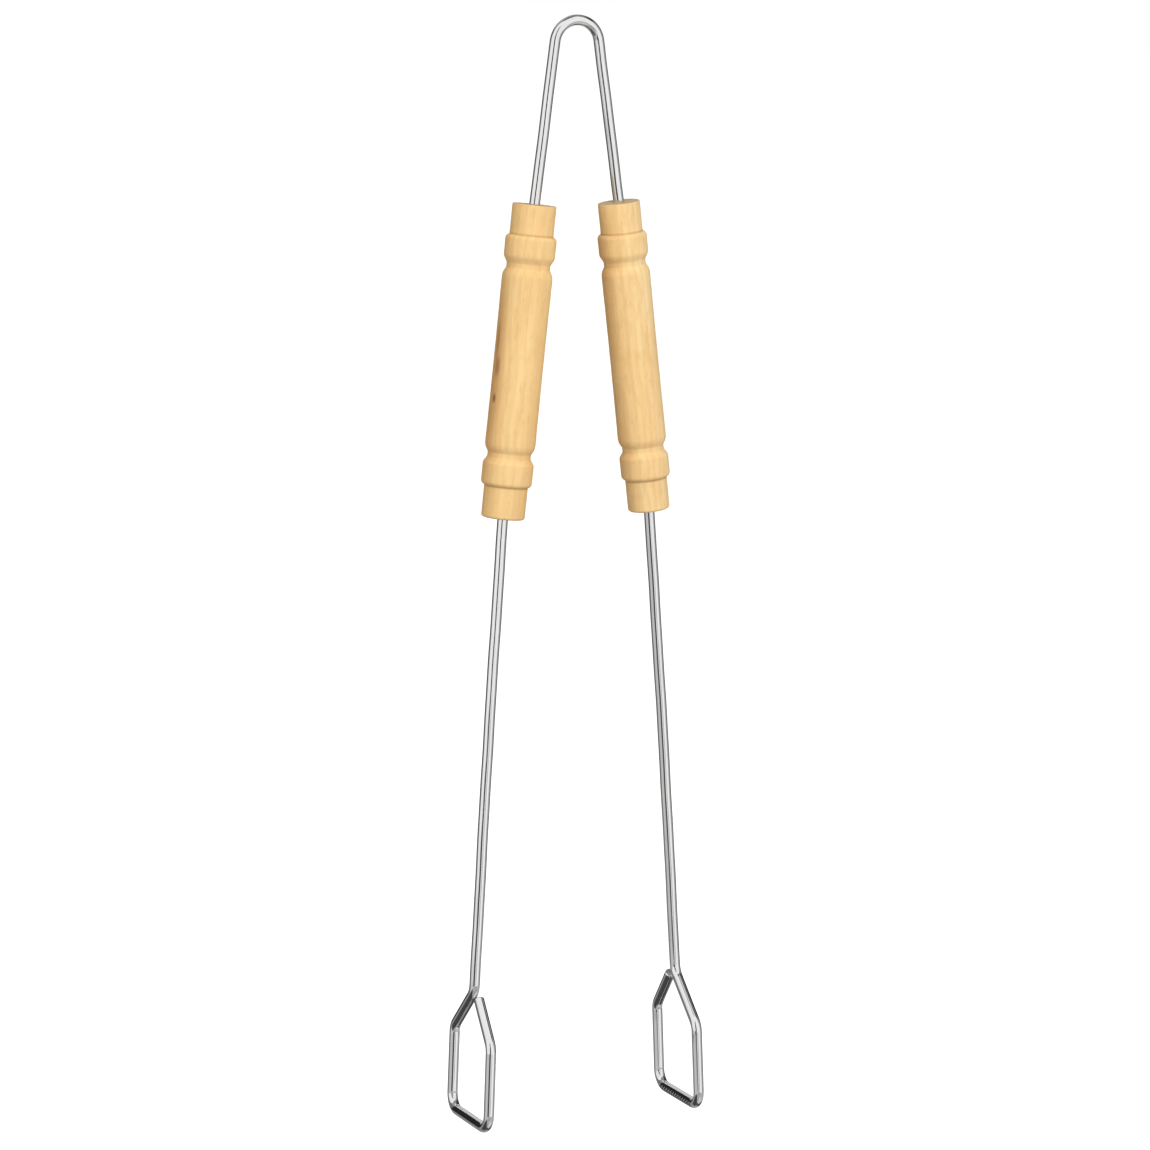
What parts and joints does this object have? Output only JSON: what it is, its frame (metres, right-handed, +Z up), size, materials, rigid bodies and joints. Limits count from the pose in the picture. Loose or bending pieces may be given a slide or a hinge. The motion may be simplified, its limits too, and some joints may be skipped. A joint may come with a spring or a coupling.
{
  "type": "spring-wire barbecue tongs",
  "caption": "Spring-wire roasting tongs: a U-bent bright wire with a turned wooden handle on each leg, ending in toothed five-sided loops.",
  "frame": {"origin": "centre of the bow's bend, inside the U, where the hook that the tongs hang on goes through", "axes": "+Z up along the tongs' length towards the bow, +X from the left leg to the right leg, +Y across the loops, away from the side that the right loop's leg wire is on"},
  "size_m": [0.0914, 0.041, 0.4189],
  "materials": {
    "bright_wire": "polished",
    "turned_wood": "satin"
  },
  "bodies": {
    "bow": {"bow": "bright_wire"},
    "left_arm": {"left_arm_wire": "bright_wire", "left_jaw_loop": "bright_wire"},
    "right_arm": {"right_arm_wire": "bright_wire", "right_jaw_loop": "bright_wire"},
    "left_handle": {"left_handle": "turned_wood"},
    "right_handle": {"right_handle": "turned_wood"}
  },
  "joints": [
    {"name": "right_arm_squeeze", "type": "hinge", "parent": "bow", "child": "right_arm", "pos_m": [0, 0, 0], "axis": [0, 1, 0], "range_deg": [-2, 5.8], "stiffness_Nm_per_rad": 30, "deforming": ["bow"]},
    {"name": "left_arm_squeeze", "type": "hinge", "parent": "bow", "child": "left_arm", "pos_m": [0, 0, 0], "axis": [0, -1, 0], "range_deg": [-2, 5.8], "stiffness_Nm_per_rad": 30, "deforming": ["bow"]},
    {"name": "right_handle_turn", "type": "hinge", "parent": "right_arm", "child": "right_handle", "pos_m": [0.02349, 0, -0.11733], "axis": [0.1097, 0, -0.994], "continuous": true},
    {"name": "left_handle_turn", "type": "hinge", "parent": "left_arm", "child": "left_handle", "pos_m": [-0.02349, 0, -0.11733], "axis": [-0.1097, 0, -0.994], "continuous": true}
  ],
  "couplings": [
    {"joint": "left_arm_squeeze", "follows": "right_arm_squeeze", "ratio": 1}
  ]
}
